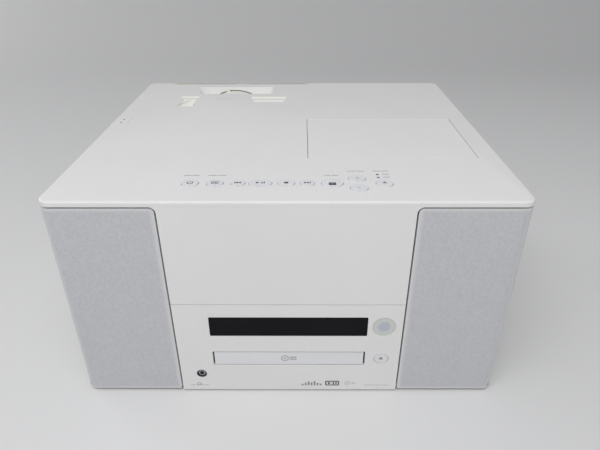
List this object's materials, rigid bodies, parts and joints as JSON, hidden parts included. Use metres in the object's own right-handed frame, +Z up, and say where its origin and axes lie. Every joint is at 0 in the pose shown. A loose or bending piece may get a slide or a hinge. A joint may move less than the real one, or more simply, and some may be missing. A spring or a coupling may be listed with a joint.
{
  "type": "projector with disc player",
  "caption": "Boxy white home projector with a built-in disc tray, speaker grilles, display, top buttons, lamp cover and rear lens with shutter.",
  "frame": {"origin": "on the table under the middle of the case", "axes": "+X to the viewer's right, -Y the side with the speakers and the disc tray, +Y the side with the lens, +Z up"},
  "size_m": [0.34, 0.31, 0.18],
  "materials": {
    "case_white": "satin moulded plastic, cool white",
    "button_white": "smooth white plastic",
    "grille_grey": "fine perforated sheet, light grey paint",
    "gloss_black": "smoked, polished",
    "dark_plastic": "fine grained black",
    "rubber_grey": "matt",
    "foam": "open cell foam",
    "circuit_board": "lacquered board",
    "zinc_steel": "zinc plated",
    "cast_magnesium": "die cast, raw",
    "brass": "turned",
    "clear_glass": "polished",
    "milky_window": "milky, translucent",
    "speaker_cone": "pressed cone"
  },
  "bodies": {
    "case": {"upper_case": "case_white", "lower_case": "case_white", "left_grille": "grille_grey", "right_grille": "grille_grey", "air_filter": "foam", "exhaust_grille": "case_white", "case_screws": "zinc_steel", "fixed_feet": "rubber_grey", "display_window": "gloss_black", "display_panel": "gloss_black", "front_board": "circuit_board", "sensor_window": "milky_window", "headphone_jack": "dark_plastic", "status_lights": "milky_window", "button_board": "circuit_board", "loader_frame": "dark_plastic", "loading_motor": "zinc_steel", "loading_belt": "rubber_grey", "clamp_bridge": "zinc_steel", "optical_housing": "cast_magnesium", "lamp_unit": "dark_plastic", "lamp_reflector": "clear_glass", "fan_frame": "dark_plastic", "main_board": "circuit_board", "power_supply": "circuit_board", "mains_inlet": "dark_plastic", "video_sockets": "dark_plastic", "left_speaker": "dark_plastic", "right_speaker": "dark_plastic", "speaker_cones": "speaker_cone"},
    "lamp_cover": {"lamp_cover": "case_white"},
    "filter_cover": {"filter_cover": "case_white"},
    "left_foot": {"left_foot": "rubber_grey"},
    "right_foot": {"right_foot": "rubber_grey"},
    "eject_button": {"eject_button": "button_white"},
    "power_button": {"power_button": "button_white"},
    "source_button": {"source_button": "button_white"},
    "previous_button": {"previous_button": "button_white"},
    "play_button": {"play_button": "button_white"},
    "stop_button": {"stop_button": "button_white"},
    "next_button": {"next_button": "button_white"},
    "menu_button": {"menu_button": "button_white"},
    "volume_up_button": {"volume_up_button": "button_white"},
    "volume_down_button": {"volume_down_button": "button_white"},
    "brightness_button": {"brightness_button": "button_white"},
    "tray": {"tray_front": "case_white", "disc_tray": "case_white"},
    "tray_gear": {"tray_gear": "button_white"},
    "motor_pulley": {"motor_pulley": "brass"},
    "drive": {"drive_frame": "zinc_steel", "spindle_motor": "zinc_steel", "guide_rods": "zinc_steel"},
    "turntable": {"turntable": "dark_plastic"},
    "pickup": {"optical_pickup": "dark_plastic"},
    "disc_clamp": {"disc_clamp": "dark_plastic"},
    "focus_ring": {"focus_ring": "case_white"},
    "lens": {"lens_barrel": "dark_plastic", "lens_glass": "clear_glass"},
    "shutter": {"lens_shutter": "case_white"},
    "fan": {"fan_rotor": "dark_plastic"}
  },
  "joints": [
    {"name": "lamp_cover_lift", "type": "slide", "parent": "case", "child": "lamp_cover", "axis": [0, 0, 1], "range_m": [0, 0.05]},
    {"name": "filter_cover_pull", "type": "slide", "parent": "case", "child": "filter_cover", "axis": [-1, 0, 0], "range_m": [0, 0.03]},
    {"name": "left_foot_screw", "type": "slide", "parent": "case", "child": "left_foot", "axis": [0, 0, -1], "range_m": [0, 0.015]},
    {"name": "right_foot_screw", "type": "slide", "parent": "case", "child": "right_foot", "axis": [0, 0, -1], "range_m": [0, 0.015]},
    {"name": "eject_press", "type": "slide", "parent": "case", "child": "eject_button", "axis": [0, 1, 0], "range_m": [0, 0.0008], "stiffness_N_per_m": 600, "springref_m": -0.0004},
    {"name": "power_press", "type": "slide", "parent": "case", "child": "power_button", "axis": [0, 0, -1], "range_m": [0, 0.0008], "stiffness_N_per_m": 600, "springref_m": -0.0004},
    {"name": "source_press", "type": "slide", "parent": "case", "child": "source_button", "axis": [0, 0, -1], "range_m": [0, 0.0008], "stiffness_N_per_m": 600, "springref_m": -0.0004},
    {"name": "previous_press", "type": "slide", "parent": "case", "child": "previous_button", "axis": [0, 0, -1], "range_m": [0, 0.0008], "stiffness_N_per_m": 600, "springref_m": -0.0004},
    {"name": "play_press", "type": "slide", "parent": "case", "child": "play_button", "axis": [0, 0, -1], "range_m": [0, 0.0008], "stiffness_N_per_m": 600, "springref_m": -0.0004},
    {"name": "stop_press", "type": "slide", "parent": "case", "child": "stop_button", "axis": [0, 0, -1], "range_m": [0, 0.0008], "stiffness_N_per_m": 600, "springref_m": -0.0004},
    {"name": "next_press", "type": "slide", "parent": "case", "child": "next_button", "axis": [0, 0, -1], "range_m": [0, 0.0008], "stiffness_N_per_m": 600, "springref_m": -0.0004},
    {"name": "menu_press", "type": "slide", "parent": "case", "child": "menu_button", "axis": [0, 0, -1], "range_m": [0, 0.0008], "stiffness_N_per_m": 600, "springref_m": -0.0004},
    {"name": "volume_up_press", "type": "slide", "parent": "case", "child": "volume_up_button", "axis": [0, 0, -1], "range_m": [0, 0.0008], "stiffness_N_per_m": 600, "springref_m": -0.0004},
    {"name": "volume_down_press", "type": "slide", "parent": "case", "child": "volume_down_button", "axis": [0, 0, -1], "range_m": [0, 0.0008], "stiffness_N_per_m": 600, "springref_m": -0.0004},
    {"name": "brightness_press", "type": "slide", "parent": "case", "child": "brightness_button", "axis": [0, 0, -1], "range_m": [0, 0.0008], "stiffness_N_per_m": 600, "springref_m": -0.0004},
    {"name": "tray_slide", "type": "slide", "parent": "case", "child": "tray", "axis": [0, -1, 0], "range_m": [0, 0.13]},
    {"name": "tray_gear_turn", "type": "hinge", "parent": "case", "child": "tray_gear", "pos_m": [0.032, -0.135, 0.03], "axis": [0, 0, 1], "range_deg": [-745, 0]},
    {"name": "motor_pulley_turn", "type": "hinge", "parent": "case", "child": "motor_pulley", "pos_m": [-0.012, -0.135, 0.026], "axis": [0, 0, 1], "range_deg": [-2661, 0]},
    {"name": "drive_dip", "type": "hinge", "parent": "case", "child": "drive", "pos_m": [0, -0.008, 0.0205], "axis": [1, 0, 0], "range_deg": [0, 3.5]},
    {"name": "turntable_spin", "type": "hinge", "parent": "drive", "child": "turntable", "pos_m": [0, -0.085, 0.036], "axis": [0, 0, 1], "continuous": true},
    {"name": "pickup_slide", "type": "slide", "parent": "drive", "child": "pickup", "axis": [0, 1, 0], "range_m": [0, 0.033]},
    {"name": "disc_clamp_spin", "type": "hinge", "parent": "case", "child": "disc_clamp", "pos_m": [0, -0.085, 0.045], "axis": [0, 0, 1], "continuous": true},
    {"name": "focus_turn", "type": "hinge", "parent": "case", "child": "focus_ring", "pos_m": [-0.067, 0.1296, 0.1322], "axis": [0, 1, 0], "range_deg": [-8, 29]},
    {"name": "lens_slide", "type": "slide", "parent": "case", "child": "lens", "axis": [0, 1, 0], "range_m": [-0.00037, 0.00165]},
    {"name": "shutter_slide", "type": "slide", "parent": "case", "child": "shutter", "axis": [-1, 0, 0], "range_m": [0, 0.084]},
    {"name": "fan_spin", "type": "hinge", "parent": "case", "child": "fan", "pos_m": [0.108, 0.14, 0.13335], "axis": [0, 1, 0], "continuous": true}
  ],
  "couplings": [
    {"joint": "tray_gear_turn", "follows": "tray_slide", "rad_per_m": -100},
    {"joint": "motor_pulley_turn", "follows": "tray_slide", "rad_per_m": -357.14},
    {"joint": "disc_clamp_spin", "follows": "turntable_spin", "ratio": 1},
    {"joint": "focus_turn", "follows": "lens_slide", "rad_per_m": 285.71}
  ]
}
